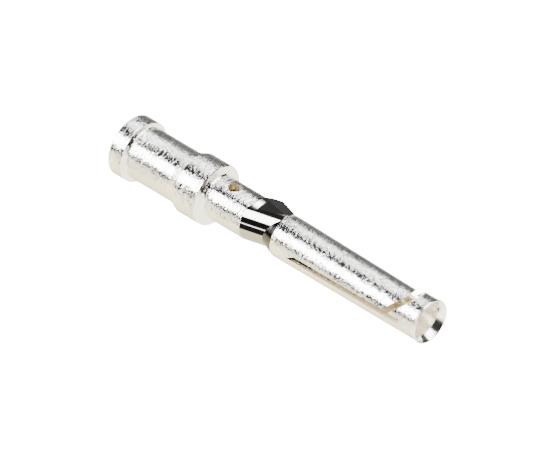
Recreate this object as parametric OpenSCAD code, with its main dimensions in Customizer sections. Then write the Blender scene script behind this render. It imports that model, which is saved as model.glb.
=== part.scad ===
// Turned crimp socket contact for a 2.5 mm pin.
// It stands on its wire end. +Z runs along the axis to the mouth, and -Y is the
// side of the inspection hole and the spring tongue. Millimetres.

/* [Wire barrel] */
// Diameter of the end flange and of the locating collar
collar_d = 4.7; // [4.3:0.05:5.5]
// Thickness of the end flange
flange_t = 1.35; // [0.8:0.05:1.8]
// Outer diameter of the barrel that is crimped
barrel_d = 4; // [3.6:0.05:4.2]
// Length of the barrel between the flange and the collar's taper
barrel_len = 4.2; // [3:0.1:8]
// Length of the taper up to the collar
taper_len = 0.8; // [0.5:0.05:1.2]
// Length of the collar's cylinder
collar_len = 2.05; // [1.2:0.05:3]
// Diameter of the wire's bore
wire_bore_d = 2.25; // [1.5:0.05:2.5]
// Width of the chamfer where the wire goes in
wire_lead_in = 0.3; // [0.1:0.05:0.5]
// Broken edge of the flange and the collar
edge_break = 0.08; // [0.04:0.01:0.15]

/* [Neck] */
// Outer diameter of the neck behind the bend
neck_d = 3.3; // [3.1:0.05:3.6]
// Length of the neck from the collar to the bend
neck_len = 3.7; // [3.2:0.1:6]
// Fillet where the neck meets the collar
neck_fillet = 0.2; // [0.1:0.05:0.4]
// Diameter of the inspection hole
inspect_d = 1; // [0.6:0.05:1.2]
// Height of the inspection hole above the collar's face
inspect_up = 1.65; // [1.2:0.05:2.2]
// Depth of the wire's bore beyond the middle of the inspection hole
bore_past_hole = 0.85; // [0.6:0.05:1.2]

/* [Pressed bend] */
// Length of the bend along the axis
bend_len = 2.85; // [2:0.05:3.5]
// Diameter of the leaning part
lean_d = 3.36; // [3.2:0.02:3.6]
// Lean of that part from the axis, in degrees
lean_angle = 12; // [6:0.5:15]
// Side step of the leaning part where it starts
lean_step = 0.07; // [0:0.01:0.12]
// Direction of the lean, in degrees from the hole's side
lean_turn = -70; // [-90:5:90]
// Angle of the cone that leads back out to the socket, in degrees
ramp_angle = 19; // [12:1:25]
// Angle of the cone that leads into the bend, in degrees
rise_angle = 19; // [12:1:25]
// Slope of the shoulder that falls from the bend to the socket, in degrees
shoulder_slope = 18; // [12:1:24]
// Distance from the axis to the shoulder's plane at the socket
shoulder_out = 1.32; // [1.2:0.02:1.6]
// Direction of the flat beside the shoulder, in degrees from the hole's side
flat_turn = -19; // [-40:1:0]
// Slope of that flat, in degrees
flat_slope = 3; // [0:0.5:6]
// Distance from the axis to that flat at the socket
flat_out = 1.68; // [1.64:0.01:1.8]

/* [Socket] */
// Outer diameter of the socket
socket_d = 3.26; // [3.1:0.02:3.5]
// Length of the socket from the bend to the mouth
socket_len = 13.85; // [11:0.1:18]
// Diameter of the bore in the closed entry ring
entry_d = 2.6; // [2.4:0.05:2.7]
// Length of the entry ring's bore behind the funnel
entry_len = 0.82; // [0.5:0.02:0.9]
// Diameter at the floor of the bore, which widens a little behind the ring
socket_bore_d = 2.74; // [2.64:0.02:2.84]
// Solid left between the bend and the bottom of the socket's bore
socket_floor = 0.7; // [0.4:0.1:1.5]
// Length of the funnel in the mouth
funnel_len = 0.58; // [0.3:0.02:0.8]
// Width of the flat rim round the funnel
rim_w = 0.09; // [0.05:0.01:0.15]
// Flare of the lip beyond the socket's radius
lip_flare = 0.07; // [0.02:0.01:0.12]
// Length of the flared lip
lip_len = 0.3; // [0.15:0.05:0.5]

/* [Spring tongue] */
// Width of the saw cuts
saw_w = 0.42; // [0.3:0.02:0.5]
// Distance from the bend to the root of the side slots
root_up = 1.5; // [1.2:0.1:4]
// Distance from the mouth to the end of the side slots
ring_len = 1.55; // [1.3:0.05:2.5]
// Angle between the slanting cut and the axis, in degrees
slant_angle = 43; // [40:1:60]
// Distance from the mouth to the slanting cut, on the tongue's side
slant_back = 1.4; // [1.3:0.05:2.5]
// Slope of the slots' inner ends, in degrees from the cross section
root_slope = 62; // [0:2:66]
// Bend of the tongue towards the axis, in degrees
tongue_dip = 1.4; // [0.2:0.1:1.8]

/* [Hidden] */
$fn = 96;
eps = 0.01;
big = 20;
drill_point = 59;            // half of a twist drill's point angle
lap = 0.3;                   // how far the bend's solid reaches into the neck
seat = 0.05;                 // how far below the neck's end the bend's cone comes out
shell_gap = 0.005;           // how much thinner the tongue is pressed on each side

flange_r = collar_d / 2;
barrel_r = barrel_d / 2;
wire_r = wire_bore_d / 2;
neck_r = neck_d / 2;
lean_r = lean_d / 2;
socket_r = socket_d / 2;
bore_r = socket_bore_d / 2;
entry_r = entry_d / 2;
lip_r = socket_r + lip_flare;

taper_z = flange_t + barrel_len;
collar_z = taper_z + taper_len;
neck_z = collar_z + collar_len;
bend_z = neck_z + neck_len;
socket_z = bend_z + bend_len;
mouth_z = socket_z + socket_len;

inspect_z = neck_z + inspect_up;
wire_depth = inspect_z + bore_past_hole;
floor_z = socket_z + socket_floor;
root_z = socket_z + root_up;
ring_z = mouth_z - ring_len;
slant_z = mouth_z - slant_back;
funnel_z = mouth_z - funnel_len;
entry_z = funnel_z - entry_len;
point_z = floor_z + bore_r / tan(drill_point);

// A cylinder from one height to another, with a radius at each end
module turned(z0, z1, r0, r1) {
    translate([0, 0, z0]) cylinder(h = z1 - z0, r1 = r0, r2 = r1);
}

// The same solid cut back to the stretch between two heights
module between(z0, z1) {
    intersection() {
        children();
        translate([-big / 2, -big / 2, z0]) cube([big, big, z1 - z0]);
    }
}

// Outline of the lathe work from the wire end to the start of the bend
module barrel_outline() {
    polygon([
        [0, 0],
        [flange_r - edge_break, 0],
        [flange_r, edge_break],
        [flange_r, flange_t - edge_break],
        [flange_r - edge_break, flange_t],
        [barrel_r, flange_t],
        [barrel_r, taper_z],
        [flange_r, collar_z],
        [flange_r, neck_z - edge_break],
        [flange_r - edge_break, neck_z],
        [neck_r + neck_fillet, neck_z],
        for (a = [10 : 10 : 80]) [
            neck_r + neck_fillet * (1 - sin(a)),
            neck_z + neck_fillet * (1 - cos(a))
        ],
        [neck_r, neck_z + neck_fillet],
        [neck_r, bend_z],
        [0, bend_z]
    ]);
}

module wire_barrel() {
    rotate_extrude() barrel_outline();
}

// The wire's bore from the foot, with its lead-in and the drill's point
module wire_bore() {
    turned(-eps, wire_depth, wire_r, wire_r);
    turned(-eps, wire_lead_in, wire_r + wire_lead_in + eps, wire_r);
    turned(wire_depth - eps, wire_depth + wire_r / tan(drill_point), wire_r, 0);
}

// Cross hole on the -Y side, where the wire's end can be seen
module inspection_hole() {
    translate([0, 0, inspect_z]) rotate([90, 0, 0]) cylinder(h = collar_d, d = inspect_d);
}

// Half-space on the axis's side of a plane that falls towards the socket.
// The plane faces a direction round the axis and is some way out at the socket.
module under_plane(turn, out, slope) {
    rotate([0, 0, turn - 90]) translate([out, 0, socket_z]) rotate([0, -slope, 0])
        translate([-big, -big / 2, -big / 2]) cube([big, big, big]);
}

// The stretch that is pressed out of line: a leaning cylinder that leads in on
// a cone and falls off on a shoulder and a flat, over a cone back to the socket
module pressed_bend() {
    intersection() {
        between(bend_z - lap, socket_z)
            rotate([0, 0, lean_turn - 90])
                translate([lean_step, 0, bend_z])
                    rotate([0, lean_angle, 0])
                        translate([0, 0, -big / 4]) cylinder(h = big / 2, r = lean_r);
        turned(bend_z - lap, socket_z + lap,
            neck_r - (lap - seat) * tan(rise_angle), neck_r + (bend_len + lap + seat) * tan(rise_angle));
        under_plane(lean_turn, shoulder_out, shoulder_slope);
        under_plane(flat_turn, flat_out, flat_slope);
    }
    ramp_h = bend_len / 2;
    turned(socket_z - ramp_h, socket_z, socket_r - ramp_h * tan(ramp_angle), socket_r);
}

// The socket's outside and its flared lip
module socket_body() {
    turned(socket_z, mouth_z - lip_len, socket_r, socket_r);
    turned(mouth_z - lip_len, mouth_z - edge_break, socket_r, lip_r);
    turned(mouth_z - edge_break, mouth_z, lip_r, lip_r - edge_break / 2);
}

// Radius of the slightly tapered bore at some height
function bore_at(z) = entry_r + (entry_z - z) * (bore_r - entry_r) / (entry_z - floor_z);

// The pin's bore from the drill's point at its floor to the funnel in the mouth
module socket_bore() {
    rotate_extrude() polygon([
        [0, floor_z],
        [bore_at(point_z), point_z],
        [entry_r, entry_z],
        [entry_r, funnel_z],
        [lip_r - rim_w, mouth_z + eps],
        [0, mouth_z + eps]
    ]);
}

// What the two side slots take away: a flat saw cut through the axis
module side_slots() {
    slot_top = ring_z - root_z;
    for (side = [0, 1]) mirror([side, 0, 0])
        translate([0, 0, root_z]) difference() {
            translate([bore_r / 2, -saw_w / 2 - eps, 0]) cube([socket_d, saw_w + eps, slot_top]);
            translate([0, saw_w / 2, 0]) rotate([-root_slope, 0, 0])
                translate([0, -big, -big / 2]) cube([big, big, big / 2]);
        }
}

// Half-space in front of the slanting cut, moved forward along it by some way
module ahead_of_slant(forward) {
    translate([0, -socket_r, slant_z]) rotate([slant_angle - 90, 0, 0])
        translate([-big / 2, -big / 2, forward]) cube([big, big, big]);
}

// The half on the hole's side, above the middle of the saw's cut
module tongue_side() {
    translate([-big / 2, -big, 0]) cube([big, big - saw_w / 2, 2 * big]);
}

// Ring and lower half: all that the tongue leaves of the drilled socket
module socket_frame() {
    difference() {
        socket_body();
        socket_bore();
        side_slots();
        difference() {
            between(root_z, mouth_z) tongue_side();
            ahead_of_slant(saw_w / 2);
        }
    }
}

// The half shell that is sawn free in front and bent inwards from its root
module spring_tongue() {
    hinge_z = root_z - saw_w;
    translate([0, -socket_r, hinge_z]) rotate([-tongue_dip, 0, 0]) translate([0, socket_r, -hinge_z])
        difference() {
            intersection() {
                turned(hinge_z, mouth_z, socket_r - shell_gap, socket_r - shell_gap);
                tongue_side();
            }
            turned(hinge_z - eps, mouth_z, bore_at(hinge_z - eps) + shell_gap, bore_at(mouth_z) + shell_gap);
            side_slots();
            ahead_of_slant(-saw_w / 2);
        }
}

module contact() {
    color([0.88, 0.87, 0.85]) difference() {
        union() {
            wire_barrel();
            pressed_bend();
            socket_frame();
            spring_tongue();
        }
        wire_bore();
        inspection_hole();
    }
}

contact();
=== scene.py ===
import math

import bpy
import bmesh
from mathutils import Matrix, Vector


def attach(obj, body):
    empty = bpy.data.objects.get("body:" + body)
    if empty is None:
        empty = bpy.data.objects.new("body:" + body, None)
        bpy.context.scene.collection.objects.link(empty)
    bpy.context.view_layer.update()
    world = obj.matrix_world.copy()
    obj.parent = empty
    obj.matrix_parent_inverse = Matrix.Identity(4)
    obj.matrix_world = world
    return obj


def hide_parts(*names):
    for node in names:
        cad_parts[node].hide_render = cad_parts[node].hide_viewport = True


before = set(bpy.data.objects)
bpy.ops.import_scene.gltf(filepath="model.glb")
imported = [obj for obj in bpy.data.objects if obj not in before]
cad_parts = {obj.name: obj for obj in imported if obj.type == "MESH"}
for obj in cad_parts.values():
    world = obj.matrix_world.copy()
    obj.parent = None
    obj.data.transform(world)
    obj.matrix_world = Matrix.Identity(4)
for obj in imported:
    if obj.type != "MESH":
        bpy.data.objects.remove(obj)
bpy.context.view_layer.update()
mm = 0.001
print("frame loaded")


# nodes

def feed(tree, socket, value):
    if isinstance(value, bpy.types.NodeSocket):
        tree.links.new(value, socket)
    elif value is not None:
        socket.default_value = value


def makeNode(tree, kind, settings=None, **inputs):        # Base_Color feeds the input Base Color
    node = tree.nodes.new(kind)
    for name, value in (settings or {}).items():
        setattr(node, name, value)
    for name, value in inputs.items():
        feed(tree, node.inputs[name.replace("_", " ")], value)
    return node


def mathNode(tree, operation, a, b=None, clamp=False):
    node = makeNode(tree, "ShaderNodeMath", {"operation": operation, "use_clamp": clamp})
    feed(tree, node.inputs[0], a)
    feed(tree, node.inputs[1], b)
    return node.outputs[0]


def total(tree, *values):
    result = values[0]
    for value in values[1:]:
        result = mathNode(tree, "ADD", result, value)
    return result


def less(tree, a, b):
    return mathNode(tree, "SUBTRACT", a, b)


def times(tree, a, b):
    return mathNode(tree, "MULTIPLY", a, b)


def shareBetween(tree, value, start, end):        # 0 at start and below, 1 at end and above
    return mathNode(tree, "DIVIDE", less(tree, value, start), end - start, clamp=True)


def separate(tree, value):
    return makeNode(tree, "ShaderNodeSeparateXYZ", Vector=value).outputs


def opaque(colour):
    return (*colour, 1) if isinstance(colour, tuple) else colour


def blendNode(tree, share, a, b):        # colours or sockets
    node = makeNode(tree, "ShaderNodeMix", {"data_type": "RGBA"})
    for number, value in ((0, share), (6, opaque(a)), (7, opaque(b))):
        feed(tree, node.inputs[number], value)
    return node.outputs[2]


def rampNode(tree, value, stops):
    node = makeNode(tree, "ShaderNodeValToRGB", Fac=value)
    elements = node.color_ramp.elements
    while len(elements) < len(stops):
        elements.new(0.5)
    for element, (place, colour) in zip(elements, stops):
        element.position = place
        element.color = opaque(colour if isinstance(colour, tuple) else (colour, colour, colour))
    return node.outputs[0]


# finishes, on object coordinates

def newFinish(name, colour, metallic):
    material = bpy.data.materials.new(name)
    material.use_nodes = True
    tree = material.node_tree
    tree.nodes.clear()
    place = makeNode(tree, "ShaderNodeTexCoord").outputs["Object"]
    shader = makeNode(tree, "ShaderNodeBsdfPrincipled", Metallic=metallic, Base_Color=opaque(colour))
    makeNode(tree, "ShaderNodeOutputMaterial", Surface=shader.outputs[0])
    return material, tree, place, shader


def noiseNode(tree, place, size, detail=1.0, roughness=0.5, distortion=0.0):        # size in mm
    return makeNode(tree, "ShaderNodeTexNoise", Vector=place, Scale=1 / (size * mm), Detail=detail,
                    Roughness=roughness, Distortion=distortion).outputs["Fac"]


def squeezed(tree, place, share):        # for marks that run round the axis
    return makeNode(tree, "ShaderNodeMapping", Vector=place, Scale=(share, share, 1.0)).outputs[0]


def bumpNode(tree, shader, *heights):        # each a pattern and its height in mm
    height = total(tree, *(times(tree, pattern, depth) for pattern, depth in heights))
    bump = makeNode(tree, "ShaderNodeBump", Strength=1.0, Distance=mm, Height=height)
    feed(tree, shader.inputs["Normal"], bump.outputs["Normal"])


# silver plate

silverLook = {
    "colour": (0.95, 0.935, 0.90),
    "roughness": 0.06,
    "hazeMore": 0.14,        # added where the plate is frosted
    "hazeFrom": 0.38,        # share of the noise where the frost starts
    "hazeEdge": 4.0,         # how sharply it starts
    "fleckSize": 0.25,       # mm
    "grainSize": 0.20,       # mm
    "grainLength": 2.2,      # times longer round the axis than along it
    "grainDepth": 0.065,     # mm
    "ringPitch": 0.05,       # mm between the tool's marks
    "ringSqueeze": 0.06,
    "ringDepth": 0.006,      # mm
}


def makeSilver(look):
    material, tree, place, shader = newFinish("silverPlate", look["colour"], 1.0)
    grain = noiseNode(tree, squeezed(tree, place, 1 / look["grainLength"]), look["grainSize"],
                      detail=2.0, roughness=0.6)
    rings = noiseNode(tree, squeezed(tree, place, look["ringSqueeze"]), look["ringPitch"])
    bumpNode(tree, shader, (grain, look["grainDepth"]), (rings, look["ringDepth"]))
    fleck = noiseNode(tree, place, look["fleckSize"], distortion=0.4)
    haze = mathNode(tree, "MULTIPLY", less(tree, fleck, look["hazeFrom"]), look["hazeEdge"], clamp=True)
    feed(tree, shader.inputs["Roughness"],
         total(tree, times(tree, haze, look["hazeMore"]), look["roughness"]))
    return material


# pressed and countersunk plate

pressedPaintedReflectionLook = {              # the bend, polished by the press; its colour is painted a darker grey than the silver, a painted dark reflection
    "colour": (0.52, 0.51, 0.48),
    "roughness": 0.05,
    "waveSize": 0.9,         # mm
    "waveDepth": 0.003,      # mm
    "scuffSize": 0.09,       # mm
    "scuffDepth": 0.0012,    # mm
}

foldPaintedShadeLook = {                 # the fold behind the bend, painted near black: painted shade
    "colour": (0.05, 0.046, 0.04),
    "roughness": 0.14,
    "waveSize": 0.5,
    "waveDepth": 0.010,
    "scuffSize": 0.12,
    "scuffDepth": 0.004,
}

mouthLook = {                # the countersunk mouth
    "colour": (0.93, 0.91, 0.86),
    "roughness": 0.16,
    "waveSize": 0.35,
    "waveDepth": 0.006,
    "scuffSize": 0.10,
    "scuffDepth": 0.010,
}

scuffSqueeze = 0.15


def makePressed(name, look):
    material, tree, place, shader = newFinish(name, look["colour"], 1.0)
    shader.inputs["Roughness"].default_value = look["roughness"]
    wave = noiseNode(tree, place, look["waveSize"])
    scuff = noiseNode(tree, squeezed(tree, place, scuffSqueeze), look["scuffSize"], detail=2.0)
    bumpNode(tree, shader, (wave, look["waveDepth"]), (scuff, look["scuffDepth"]))
    return material


# bored and sawn faces

boreLook = {                 # depths in mm from either end; deeper faces are painted darker, and near black round the socket's bore floor, as painted shade
    "mouthColour": (0.78, 0.72, 0.60),
    "mouthMetal": 0.45,
    "deepShadeColour": (0.78, 0.68, 0.48),
    "deepMetal": 0.78,
    "deepShadeFrom": (1.2, 2.7),
    "endShadeColour": (0.05, 0.045, 0.035),
    "endShadeFrom": (11.6, 12.0),
    "roughness": 0.28,
    "ringPitch": 0.07,       # mm between the drill's marks
    "ringSqueeze": 0.05,
    "ringDepth": 0.004,      # mm
    "stainSize": 0.6,        # mm
}


def makeBore(look, length):
    material, tree, place, shader = newFinish("boredMetal", look["mouthColour"], look["mouthMetal"])
    height = separate(tree, place)["Z"]
    depth = mathNode(tree, "MINIMUM", height, less(tree, length * mm, height))
    # painted shade: the colour turns darker gold and more metallic deeper in, and near black from 11.6 mm
    # from both ends, round the socket's bore floor
    deepShade = shareBetween(tree, depth, *(edge * mm for edge in look["deepShadeFrom"]))
    end = shareBetween(tree, depth, *(edge * mm for edge in look["endShadeFrom"]))
    colour = blendNode(tree, deepShade, look["mouthColour"], look["deepShadeColour"])
    feed(tree, shader.inputs["Base Color"], blendNode(tree, end, colour, look["endShadeColour"]))
    more = times(tree, deepShade, look["deepMetal"] - look["mouthMetal"])
    feed(tree, shader.inputs["Metallic"], total(tree, more, look["mouthMetal"]))
    rings = noiseNode(tree, squeezed(tree, place, look["ringSqueeze"]), look["ringPitch"])
    bumpNode(tree, shader, (rings, look["ringDepth"]))
    stain = noiseNode(tree, place, look["stainSize"], detail=2.0)
    feed(tree, shader.inputs["Roughness"], times(tree, total(tree, stain, 0.5), look["roughness"]))
    return material


# shapes, in mm

far = 10.0                   # further than any side of the contact


def vector(tree, x=0.0, y=0.0, z=0.0):
    return makeNode(tree, "ShaderNodeCombineXYZ", X=x, Y=y, Z=z).outputs[0]


def shifted(tree, shape, x=0.0, y=0.0, z=0.0):
    move = vector(tree, x, y, z)
    return makeNode(tree, "GeometryNodeTransform", Geometry=shape, Translation=move).outputs[0]


def swung(tree, shape, x=0.0, y=0.0, z=0.0):        # degrees
    parts = [mathNode(tree, "RADIANS", angle) for angle in (x, y, z)]
    turn = makeNode(tree, "FunctionNodeEulerToRotation", Euler=vector(tree, *parts)).outputs[0]
    return makeNode(tree, "GeometryNodeTransform", Geometry=shape, Rotation=turn).outputs[0]


def block(tree, x=(-far, far), y=(-far, far), z=(-far, far)):        # each a lowest and a highest value
    spans = [less(tree, high, low) for low, high in (x, y, z)]
    middles = [times(tree, total(tree, high, low), 0.5) for low, high in (x, y, z)]
    cube = makeNode(tree, "GeometryNodeMeshCube", Size=vector(tree, *spans)).outputs["Mesh"]
    return shifted(tree, cube, *middles)


def frustum(tree, low, high, lowRadius, highRadius, segments):
    cone = makeNode(tree, "GeometryNodeMeshCone", Vertices=segments, Radius_Bottom=lowRadius,
                    Radius_Top=highRadius, Depth=less(tree, high, low)).outputs["Mesh"]
    return shifted(tree, cone, z=low)


def rod(tree, low, high, radius, segments):
    return frustum(tree, low, high, radius, radius, segments)


def cutFrom(tree, solid, *cutters):
    node = makeNode(tree, "GeometryNodeMeshBoolean", {"operation": "DIFFERENCE", "solver": "EXACT"})
    feed(tree, node.inputs["Mesh 1"], solid)
    for cutter in cutters:
        feed(tree, node.inputs["Mesh 2"], cutter)
    return node.outputs["Mesh"]


def common(tree, *solids):
    node = makeNode(tree, "GeometryNodeMeshBoolean", {"operation": "INTERSECT", "solver": "EXACT"})
    for solid in solids:
        feed(tree, node.inputs["Mesh 2"], solid)
    return node.outputs["Mesh"]


def joined(tree, *solids):
    node = makeNode(tree, "GeometryNodeJoinGeometry")
    for solid in solids:
        feed(tree, node.inputs[0], solid)
    return node.outputs[0]


# contact: turned, pressed and sawn, all heights in mm from the wire end

contactForm = {
    "segments": 160,
    "cornerRadius": 0.03,
    "cornerSteps": 3,
    "weld": 0.0004,          # points nearer than this are one
    "turnedCrease": 28.0,    # degrees; flatter joins are shaded smooth
    "pressedCrease": 4.0,
    "drillPoint": 59.0,      # degrees, half of a drill's point

    # barrel
    "flangeRadius": 2.345,
    "flangeHeight": 1.35,
    "barrelRadius": 2.0,
    "taperStart": 5.55,
    "collarStart": 6.35,
    "collarEnd": 8.40,
    "edgeBreak": 0.08,
    "neckRadius": 1.65,
    "neckFillet": 0.2,
    "filletSteps": 9,
    "neckEnd": 12.10,
    "wireRadius": 1.125,
    "wireLeadIn": 0.3,
    "wireDepth": 10.90,
    "wireReach": 1.5,        # the barrel's bored faces lie nearer the axis than this
    "holeRadius": 0.5,
    "holeHeight": 10.05,
    "holeReach": 3.0,
    "holeSegments": 64,

    # bend
    "bendEnd": 14.95,
    "lap": 0.3,              # how far its shapes reach past both ends
    "leanRadius": 1.68,
    "leanAngle": 12.0,       # degrees from the axis
    "leanStep": 0.07,
    "leanTurn": -160.0,      # degrees round the axis from +X
    "coneAngle": 19.0,
    "coneSeat": 0.05,        # how far below the neck's end the cone comes out
    "shoulderOut": 1.32,
    "shoulderSlope": 18.0,
    "flatTurn": -109.0,
    "flatOut": 1.68,
    "flatSlope": 3.0,
    "faceTurn": -80.0,
    "faceOut": 1.768,
    "faceSlope": -4.0,
    "sliverTurn": -82.0,     # the sliver of neck that the press has left
    "sliverRadius": 1.70,
    "sliverOut": 1.58,
    "sliverStart": 12.32,
    "sliverEnd": 12.78,

    # socket
    "socketRadius": 1.63,
    "floor": 15.65,
    "floorRadius": 1.37,
    "entryRadius": 1.3,
    "entryStart": 27.40,
    "funnelStart": 28.22,
    "mouth": 28.80,
    "lipRadius": 1.70,
    "lipLength": 0.3,
    "lipBreak": 0.04,
    "rimWidth": 0.09,
    "socketReach": 1.56,     # the socket's bored and sawn faces lie nearer the axis than this

    # slots and spring tongue
    "sawWidth": 0.42,
    "sawSpare": 0.01,
    "slotStart": 16.45,
    "slotEnd": 27.25,
    "slotSlope": 62.0,       # degrees, the slots' inner ends
    "slantHeight": 27.40,
    "slantAngle": 43.0,      # degrees from the axis
    "tongueDip": 1.4,        # degrees
    "tongueShort": 0.20,
    "tongueSpare": 0.5,
    "hingeLap": 0.03,
    "skinGap": 0.0006,       # how far the tongue's skin lies below the socket's
}


def turnedProfile(tree, given):        # the outline turned round the axis
    curve = makeNode(tree, "GeometryNodeMeshToCurve", Mesh=given["Geometry"]).outputs[0]
    curve = makeNode(tree, "GeometryNodeFilletCurve", {"mode": "POLY"}, Curve=curve, Limit_Radius=True,
                     Count=given["cornerSteps"], Radius=given["cornerRadius"]).outputs[0]
    points = makeNode(tree, "GeometryNodeAttributeDomainSize", {"component": "CURVE"}, Geometry=curve)
    around = total(tree, given["segments"], 1.0)
    grid = makeNode(tree, "GeometryNodeMeshGrid", Vertices_X=points.outputs["Point Count"],
                    Vertices_Y=around).outputs["Mesh"]
    index = makeNode(tree, "GeometryNodeInputIndex").outputs[0]
    step = mathNode(tree, "FLOOR", mathNode(tree, "DIVIDE", total(tree, index, 0.5), around))
    turn = less(tree, index, times(tree, step, around))
    angle = mathNode(tree, "DIVIDE", times(tree, turn, 2 * math.pi), given["segments"])
    here = makeNode(tree, "GeometryNodeInputPosition").outputs[0]
    sample = makeNode(tree, "GeometryNodeSampleIndex", {"data_type": "FLOAT_VECTOR", "domain": "POINT"},
                      Geometry=curve, Value=here, Index=step).outputs[0]
    at = separate(tree, sample)
    place = vector(tree,
                   times(tree, at["X"], mathNode(tree, "COSINE", angle)),
                   times(tree, at["X"], mathNode(tree, "SINE", angle)),
                   at["Z"])
    skin = makeNode(tree, "GeometryNodeSetPosition", Geometry=grid, Position=place).outputs[0]
    return makeNode(tree, "GeometryNodeMergeByDistance", Geometry=skin, Distance=given["weld"]).outputs[0]


socketKinds = {
    int: "NodeSocketInt",
    float: "NodeSocketFloat",
    bpy.types.Material: "NodeSocketMaterial",
}


def startTree(title, values):
    tree = bpy.data.node_groups.new(title, "GeometryNodeTree")
    for way in ("INPUT", "OUTPUT"):
        tree.interface.new_socket("Geometry", in_out=way, socket_type="NodeSocketGeometry")
    for name, value in values.items():
        tree.interface.new_socket(name, in_out="INPUT", socket_type=socketKinds[type(value)])
    return tree, tree.nodes.new("NodeGroupInput").outputs


def facesInside(tree, reach, top):        # nearer the axis than reach, below top and not facing outwards
    squarelyOut = 0.8
    place = makeNode(tree, "GeometryNodeInputPosition").outputs[0]
    level = makeNode(tree, "ShaderNodeVectorMath", {"operation": "MULTIPLY"})
    feed(tree, level.inputs[0], place)
    feed(tree, level.inputs[1], (1, 1, 0))
    away = makeNode(tree, "ShaderNodeVectorMath", {"operation": "LENGTH"})
    feed(tree, away.inputs[0], level.outputs[0])
    outward = makeNode(tree, "ShaderNodeVectorMath", {"operation": "NORMALIZE"})
    feed(tree, outward.inputs[0], level.outputs[0])
    facing = makeNode(tree, "ShaderNodeVectorMath", {"operation": "DOT_PRODUCT"})
    feed(tree, facing.inputs[0], makeNode(tree, "GeometryNodeInputNormal").outputs[0])
    feed(tree, facing.inputs[1], outward.outputs[0])
    near = mathNode(tree, "LESS_THAN", away.outputs["Value"], reach)
    turned = mathNode(tree, "LESS_THAN", facing.outputs["Value"], squarelyOut)
    below = mathNode(tree, "LESS_THAN", separate(tree, place)["Z"], top)
    return times(tree, times(tree, near, turned), below)


def endTree(tree, given, shape, *finishes):        # each a material and the faces that take it
    shape = makeNode(tree, "GeometryNodeRealizeInstances", Geometry=shape).outputs[0]
    for material, chosen in finishes:
        shape = makeNode(tree, "GeometryNodeSetMaterial", Geometry=shape, Selection=chosen,
                         Material=material).outputs[0]
    feed(tree, tree.nodes.new("NodeGroupOutput").inputs[0], shape)
    unused = [socket.name for socket in given if not socket.is_linked and socket.name != "Geometry"]
    for item in list(tree.interface.items_tree):
        if item.name in unused:        # a size or finish of the other shapes
            tree.interface.remove(item)


def barrelTree(values):
    tree, given = startTree("turnedBarrel", values)
    solid = turnedProfile(tree, given)
    drill = rod(tree, 0.0, given["holeReach"], given["holeRadius"], given["holeSegments"])
    drill = shifted(tree, swung(tree, drill, x=90.0), z=given["holeHeight"])
    endTree(tree, given, cutFrom(tree, solid, drill),
            (given["plate"], True),
            (given["bore"], facesInside(tree, given["wireReach"], given["neckEnd"])))
    return tree


def bendTree(values):
    tree, given = startTree("pressedBend", values)
    start, end, segments = given["neckEnd"], given["bendEnd"], given["segments"]
    low = less(tree, start, given["lap"])
    high = total(tree, end, given["lap"])
    lean = swung(tree, rod(tree, -far / 2, far / 2, given["leanRadius"], segments), y=given["leanAngle"])
    lean = swung(tree, shifted(tree, lean, x=given["leanStep"], z=start), z=given["leanTurn"])
    slope = mathNode(tree, "TANGENT", mathNode(tree, "RADIANS", given["coneAngle"]))

    def coneRadius(height):
        rise = total(tree, less(tree, height, start), given["coneSeat"])
        return total(tree, given["neckRadius"], times(tree, rise, slope))

    def underPlane(turn, out, slope):
        half = swung(tree, block(tree, x=(-2 * far, 0.0)), y=times(tree, slope, -1.0))
        return swung(tree, shifted(tree, half, x=out, z=end), z=turn)

    # a leaning rod inside a cone, flattened on three sides
    solid = common(tree, lean, frustum(tree, low, high, coneRadius(low), coneRadius(high), segments),
                   block(tree, (-far / 2, far / 2), (-far / 2, far / 2), (low, end)),
                   underPlane(given["leanTurn"], given["shoulderOut"], given["shoulderSlope"]),
                   underPlane(given["flatTurn"], given["flatOut"], given["flatSlope"]),
                   underPlane(given["faceTurn"], given["faceOut"], given["faceSlope"]))
    # a sliver of a ring outside one plane
    inside = block(tree, x=(-2 * far, given["sliverOut"]), z=(0.0, 3 * far))
    ring = rod(tree, given["sliverStart"], given["sliverEnd"], given["sliverRadius"], segments)
    sliver = cutFrom(tree, ring, swung(tree, inside, z=given["sliverTurn"]))

    # the cone that widens to the socket; its faces take the near-black fold finish, a painted shade
    rampStart = times(tree, total(tree, start, end), 0.5)
    fall = times(tree, less(tree, end, rampStart), slope)
    rampTop = given["socketRadius"]
    ramp = frustum(tree, rampStart, end, less(tree, rampTop, fall), rampTop, segments)
    isRamp = makeNode(tree, "FunctionNodeInputBool", {"boolean": True}).outputs[0]
    ramp = makeNode(tree, "GeometryNodeStoreNamedAttribute", {"data_type": "BOOLEAN", "domain": "FACE"},
                    Geometry=ramp, Name="paintedShadeFold", Value=isRamp).outputs[0]
    paintedShadeFold = makeNode(tree, "GeometryNodeInputNamedAttribute", {"data_type": "BOOLEAN"},
                    Name="paintedShadeFold").outputs[0]
    endTree(tree, given, joined(tree, joined(tree, solid, sliver), ramp),
            (given["plate"], True),
            (given["paintedShadeFold"], paintedShadeFold))
    return tree


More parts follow.
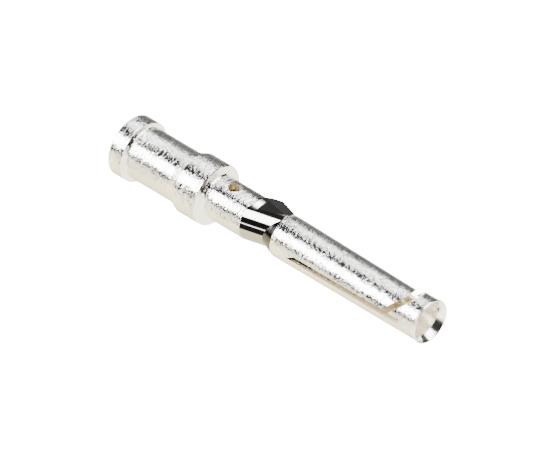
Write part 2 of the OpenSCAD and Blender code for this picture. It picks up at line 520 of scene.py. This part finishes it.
def socketTree(values):
    tree, given = startTree("sawnSocket", values)
    radius, segments = given["socketRadius"], given["segments"]
    slotStart, slotEnd = given["slotStart"], given["slotEnd"]
    half = times(tree, given["sawWidth"], 0.5)
    minusHalf = times(tree, given["sawWidth"], -0.5)
    minusRadius = times(tree, radius, -1.0)
    sawLow = less(tree, minusHalf, given["sawSpare"])
    hinge = less(tree, slotStart, given["sawWidth"])

    def aheadOfSlant(forward):
        ahead = swung(tree, block(tree, z=(forward, 2 * far)), x=less(tree, given["slantAngle"], 90.0))
        return shifted(tree, ahead, y=minusRadius, z=given["slantHeight"])

    # the slots, and the room that the tongue takes on its side
    wedge = swung(tree, block(tree, y=(-2 * far, 0.0), z=(-far, 0.0)),
                  x=times(tree, given["slotSlope"], -1.0))
    slots = cutFrom(tree, block(tree, (-far / 2, far / 2), (sawLow, half), (slotStart, slotEnd)),
                    shifted(tree, wedge, y=half, z=slotStart))
    hingeTop = total(tree, hinge, given["hingeLap"])
    nearSide = block(tree, y=(-far, minusHalf), z=(hingeTop, total(tree, slotEnd, far / 2)))
    tongueRoom = cutFrom(tree, nearSide, aheadOfSlant(half))
    openSocket = cutFrom(tree, turnedProfile(tree, given), slots, tongueRoom)

    # the tongue, bent towards the axis about its hinge and then sawn straight along the slots
    skinRadius = less(tree, radius, given["skinGap"])
    tongueTop = total(tree, given["slantHeight"], given["tongueSpare"])
    hollow = frustum(tree, less(tree, hinge, given["tongueSpare"]),
                     total(tree, tongueTop, given["tongueSpare"]),
                     given["floorRadius"], given["entryRadius"], segments)
    tongue = cutFrom(tree, rod(tree, hinge, tongueTop, skinRadius, segments), hollow,
                     aheadOfSlant(less(tree, minusHalf, given["tongueShort"])),
                     block(tree, y=(minusHalf, far), z=(0.0, 4 * far)))
    tongue = shifted(tree, tongue, y=radius, z=times(tree, hinge, -1.0))
    tongue = swung(tree, tongue, x=times(tree, given["tongueDip"], -1.0))
    tongue = cutFrom(tree, shifted(tree, tongue, y=minusRadius, z=hinge),
                     block(tree, y=(sawLow, far), z=(slotStart, 4 * far)))
    endTree(tree, given, joined(tree, openSocket, tongue),
            (given["plate"], True),
            (given["mouthPlate"], facesInside(tree, given["lipRadius"], given["mouth"])),
            (given["bore"], facesInside(tree, given["socketReach"], given["funnelStart"])))
    return tree


def barrelProfile(form):        # radius and height, from the bore's point round to the neck's end
    flange, barrel, neck, fillet = (form[name] for name in
                                    ("flangeRadius", "barrelRadius", "neckRadius", "neckFillet"))
    wire, lead, nick, steps = (form[name] for name in
                               ("wireRadius", "wireLeadIn", "edgeBreak", "filletSteps"))
    angles = [math.radians(90 * step / steps) for step in range(steps + 1)]
    arc = [(neck + fillet * (1 - math.sin(angle)), form["collarEnd"] + fillet * (1 - math.cos(angle)))
           for angle in angles]
    point = form["wireDepth"] + wire / math.tan(math.radians(form["drillPoint"]))
    return [(0, point), (wire, form["wireDepth"]), (wire, lead), (wire + lead, 0),
            (flange - nick, 0), (flange, nick),
            (flange, form["flangeHeight"] - nick), (flange - nick, form["flangeHeight"]),
            (barrel, form["flangeHeight"]), (barrel, form["taperStart"]),
            (flange, form["collarStart"]), (flange, form["collarEnd"] - nick),
            (flange - nick, form["collarEnd"]), *arc, (neck, form["neckEnd"]), (0, form["neckEnd"])]


def socketProfile(form):        # radius and height, from the bore's point round to the bend
    floor, floorRadius, entryRadius = form["floor"], form["floorRadius"], form["entryRadius"]
    radius, lip, nick, mouth = form["socketRadius"], form["lipRadius"], form["lipBreak"], form["mouth"]
    edge = floor + floorRadius / math.tan(math.radians(form["drillPoint"]))
    taper = (floorRadius - entryRadius) / (form["entryStart"] - floor)
    return [(0, floor), (floorRadius - taper * (edge - floor), edge),
            (entryRadius, form["entryStart"]), (entryRadius, form["funnelStart"]),
            (lip - form["rimWidth"], mouth), (lip - nick, mouth), (lip, mouth - 2 * nick),
            (radius, mouth - form["lipLength"]), (radius, form["bendEnd"]), (0, form["bendEnd"])]


def polyline(points):
    mesh = bpy.data.meshes.new("profile")
    mesh.from_pydata([(r, 0, z) for r, z in points], [(i, i + 1) for i in range(len(points) - 1)], [])
    return mesh


def madeBy(tree, values, mesh):
    piece = bpy.data.objects.new(tree.name, mesh)
    bpy.context.scene.collection.objects.link(piece)
    modifier = piece.modifiers.new(tree.name, "NODES")
    modifier.node_group = tree
    for socket in tree.interface.items_tree:
        if socket.in_out == "INPUT" and socket.name in values:
            modifier[socket.identifier] = values[socket.name]
    bpy.context.view_layer.update()
    finished = bpy.data.meshes.new_from_object(piece.evaluated_get(bpy.context.evaluated_depsgraph_get()))
    bpy.data.objects.remove(piece)
    return finished


def addShape(whole, materials, mesh, crease):        # crease in degrees
    facesBefore, edgesBefore = len(whole.faces), len(whole.edges)
    whole.from_mesh(mesh)
    whole.faces.ensure_lookup_table()
    whole.edges.ensure_lookup_table()
    for face in whole.faces[facesBefore:]:
        material = mesh.materials[face.material_index]
        if material not in materials:
            materials.append(material)
        face.material_index = materials.index(material)
        face.smooth = True
    for edge in whole.edges[edgesBefore:]:
        edge.smooth = edge.calc_face_angle(math.pi) < math.radians(crease)


def makeContact(form):
    silver = makeSilver(silverLook)
    others = {
        "bore": makeBore(boreLook, form["mouth"]),
        # the fold's finish is near black: painted shade
        "paintedShadeFold": makePressed("foldedPlatePaintedShade", foldPaintedShadeLook),
        "mouthPlate": makePressed("countersunkPlate", mouthLook),
    }
    shapes = [
        (barrelTree, barrelProfile(form), silver, form["turnedCrease"]),
        # the bend's plate is painted darker grey than the silver: painted dark reflection
        (bendTree, [], makePressed("pressedPlatePaintedReflection", pressedPaintedReflectionLook), form["pressedCrease"]),
        (socketTree, socketProfile(form), silver, form["turnedCrease"]),
    ]
    whole = bmesh.new()
    materials = []
    for makeTree, profile, plate, crease in shapes:
        values = {**form, **others, "plate": plate}
        addShape(whole, materials, madeBy(makeTree(values), values, polyline(profile)), crease)
    bmesh.ops.scale(whole, vec=(mm, mm, mm), verts=whole.verts)
    mesh = bpy.data.meshes.new("contactBody")
    whole.to_mesh(mesh)
    whole.free()
    for material in materials:
        mesh.materials.append(material)
    contactBody = bpy.data.objects.new("contactBody", mesh)
    bpy.context.scene.collection.objects.link(contactBody)
    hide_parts("contact")
    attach(contactBody, "root")


makeContact(contactForm)
print("contact made")


# studio: a pale floor and wall, and soft cards of light round the contact

studio = {
    "floorRadius": 1.5,
    "floorSegments": 64,
    "floorColour": (0.95, 0.95, 0.95),
    "wallStrength": 18.0,
    "cardStrength": 20.0,
    # each band of cards starts above a height on a sphere of radius 1 round the contact, and goes
    # round it by degrees from the camera's side, anticlockwise from above
    "bands": [
        {"above": -1.0, "soft": 0.01, "cards": [        # straight down
            (-180, 0.30),
            (-80, 0.30),
            (-72, 0.010),
            (-34, 0.010),
            (-28, 0.80),
            (57, 0.80),
            (62, 0.010),
            (84, 0.010),
            (92, (0.25, 0.235, 0.160)),
            (180, (0.20, 0.185, 0.125)),
        ]},
        {"above": -0.955, "soft": 0.01, "cards": [
            (-180, 0.020),
            (-155, 0.080),
            (-110, 0.30),
            (-85, 0.20),
            (-72, 0.008),
            (-40, 0.004),
            (70, 0.004),
            (84, (0.20, 0.185, 0.125)),
            (180, (0.14, 0.125, 0.075)),
        ]},
        {"above": -0.84, "soft": 0.04, "cards": [
            (-180, 0.020),
            (-120, 0.0060),
            (-100, 0.0040),
            (-15, 0.0035),
            (-9, 1.0),
            (30, 1.0),
            (33, 0.002),
            (55, 0.002),
            (60, (0.20, 0.185, 0.125)),
            (150, (0.16, 0.145, 0.090)),
            (180, 0.020),
        ]},
        {"above": -0.570, "soft": 0.008, "cards": [        # what the upright walls mirror
            (-180, (0.020, 0.015, 0.008)),
            (-160, (0.050, 0.042, 0.028)),
            (-145, 0.026),
            (-125, 0.011),
            (-101, 0.080),
            (-90, 0.45),
            (-76, 1.0),
            (-60, 1.0),
            (-50, 0.35),
            (-43, 0.030),
            (-34, 0.003),
            (-9, 0.002),
            (-4, 1.0),
            (27, 1.0),
            (30, 0.001),
            (58, 0.001),
            (61, (0.22, 0.203, 0.140)),
            (68, (0.33, 0.310, 0.220)),
            (88, (0.26, 0.238, 0.155)),
            (115, (0.17, 0.150, 0.085)),
            (140, (0.14, 0.120, 0.067)),
            (158, (0.11, 0.090, 0.048)),
            (180, (0.020, 0.015, 0.008)),
        ]},
        {"above": -0.503, "soft": 0.008, "cards": [        # what the bend mirrors
            (-180, 0.010),
            (-120, 0.0055),
            (-60, 0.0022),
            (-15, 0.002),
            (-11, 1.0),
            (20, 1.0),
            (23, 0.001),
            (50, 0.001),
            (51.5, 0.35),
            (54, 0.35),
            (55.5, 0.001),
            (81, 0.001),
            (84, (0.13, 0.115, 0.080)),
            (180, (0.11, 0.096, 0.062)),
        ]},
        {"above": -0.22, "soft": 0.04, "cards": [
            (-180, (0.19, 0.180, 0.150)),
            (-140, (0.19, 0.180, 0.150)),
            (-132, 0.002),
            (-86, 0.002),
            (-78, 0.60),
            (-36, 0.60),
            (-28, 0.0015),
            (36, 0.0015),
            (46, (0.24, 0.228, 0.185)),
            (180, (0.19, 0.180, 0.150)),
        ]},
        {"above": 0.46, "soft": 0.02, "cards": [        # what the funnel mirrors
            (-105, (0.19, 0.180, 0.150)),
            (-95, 0.0015),
            (28, 0.0015),
            (40, (0.19, 0.180, 0.150)),
        ]},
    ],
}


def makeFloor():
    mesh = bpy.data.meshes.new("floor")
    work = bmesh.new()
    bmesh.ops.create_circle(work, cap_ends=True, segments=studio["floorSegments"],
                            radius=studio["floorRadius"])
    work.to_mesh(mesh)
    work.free()
    floor = bpy.data.objects.new("floor", mesh)
    bpy.context.scene.collection.objects.link(floor)
    material = bpy.data.materials.new("paleFloor")
    material.use_nodes = True
    shader = material.node_tree.nodes["Principled BSDF"]
    shader.inputs["Base Color"].default_value = opaque(studio["floorColour"])
    shader.inputs["Roughness"].default_value = 0.9
    shader.inputs["Specular IOR Level"].default_value = 0.0
    shader.inputs["Emission Color"].default_value = (1, 1, 1, 1)
    shader.inputs["Emission Strength"].default_value = studio["wallStrength"]
    floor.data.materials.append(material)
    floor.visible_glossy = False


def makeWorld():
    world = bpy.data.worlds.new("studio")
    bpy.context.scene.world = world
    world.use_nodes = True
    tree = world.node_tree
    tree.nodes.clear()
    x, y, z = separate(tree, makeNode(tree, "ShaderNodeTexCoord").outputs["Generated"])
    turn = mathNode(tree, "ARCTAN2", total(tree, x, y), less(tree, x, y))
    share = total(tree, mathNode(tree, "DIVIDE", turn, 2 * math.pi), 0.5)
    light = None
    for band in studio["bands"]:
        stops = [(degrees / 360 + 0.5, colour) for degrees, colour in band["cards"]]
        cards = rampNode(tree, share, stops)
        if light is None:
            light = cards
        else:
            edge = mathNode(tree, "DIVIDE", less(tree, z, band["above"]), band["soft"], clamp=True)
            light = blendNode(tree, edge, light, cards)
    cards = makeNode(tree, "ShaderNodeBackground", Color=light, Strength=studio["cardStrength"])
    wall = makeNode(tree, "ShaderNodeBackground", Color=(1, 1, 1, 1), Strength=studio["wallStrength"])
    seen = makeNode(tree, "ShaderNodeLightPath").outputs["Is Camera Ray"]
    either = makeNode(tree, "ShaderNodeMixShader", Fac=seen)
    feed(tree, either.inputs[1], cards.outputs[0])
    feed(tree, either.inputs[2], wall.outputs[0])
    makeNode(tree, "ShaderNodeOutputWorld", Surface=either.outputs[0])


makeFloor()
makeWorld()
print("studio set")


# camera

cameraView = {
    "axisPoint": 13.44,      # mm, the height on the contact's axis that it aims near
    "shiftRight": 0.483,     # mm
    "shiftUp": -0.009,       # mm
    "distance": 1.2,         # m
    "lens": 1117.2,          # mm; long, because the contact is seen almost without perspective
    "sensor": 36,            # mm
    "clip": (0.01, 10),      # m
    "right": (-0.6838, -0.0366, 0.7287),
    "back": (0.599, -0.599, 0.532),
}


def makeCamera(view):
    back = Vector(view["back"]).normalized()
    right = Vector(view["right"])
    right = (right - back * right.dot(back)).normalized()
    up = back.cross(right)
    aim = Vector((0, 0, view["axisPoint"])) + right * view["shiftRight"] + up * view["shiftUp"]
    place = Matrix.Translation(aim * mm + back * view["distance"])
    data = bpy.data.cameras.new("camera")
    data.lens = view["lens"]
    data.sensor_width = view["sensor"]
    data.clip_start, data.clip_end = view["clip"]
    camera = bpy.data.objects.new("camera", data)
    bpy.context.scene.collection.objects.link(camera)
    camera.matrix_world = place @ Matrix((right, up, back)).transposed().to_4x4()
    bpy.context.scene.camera = camera


makeCamera(cameraView)
print("camera set")
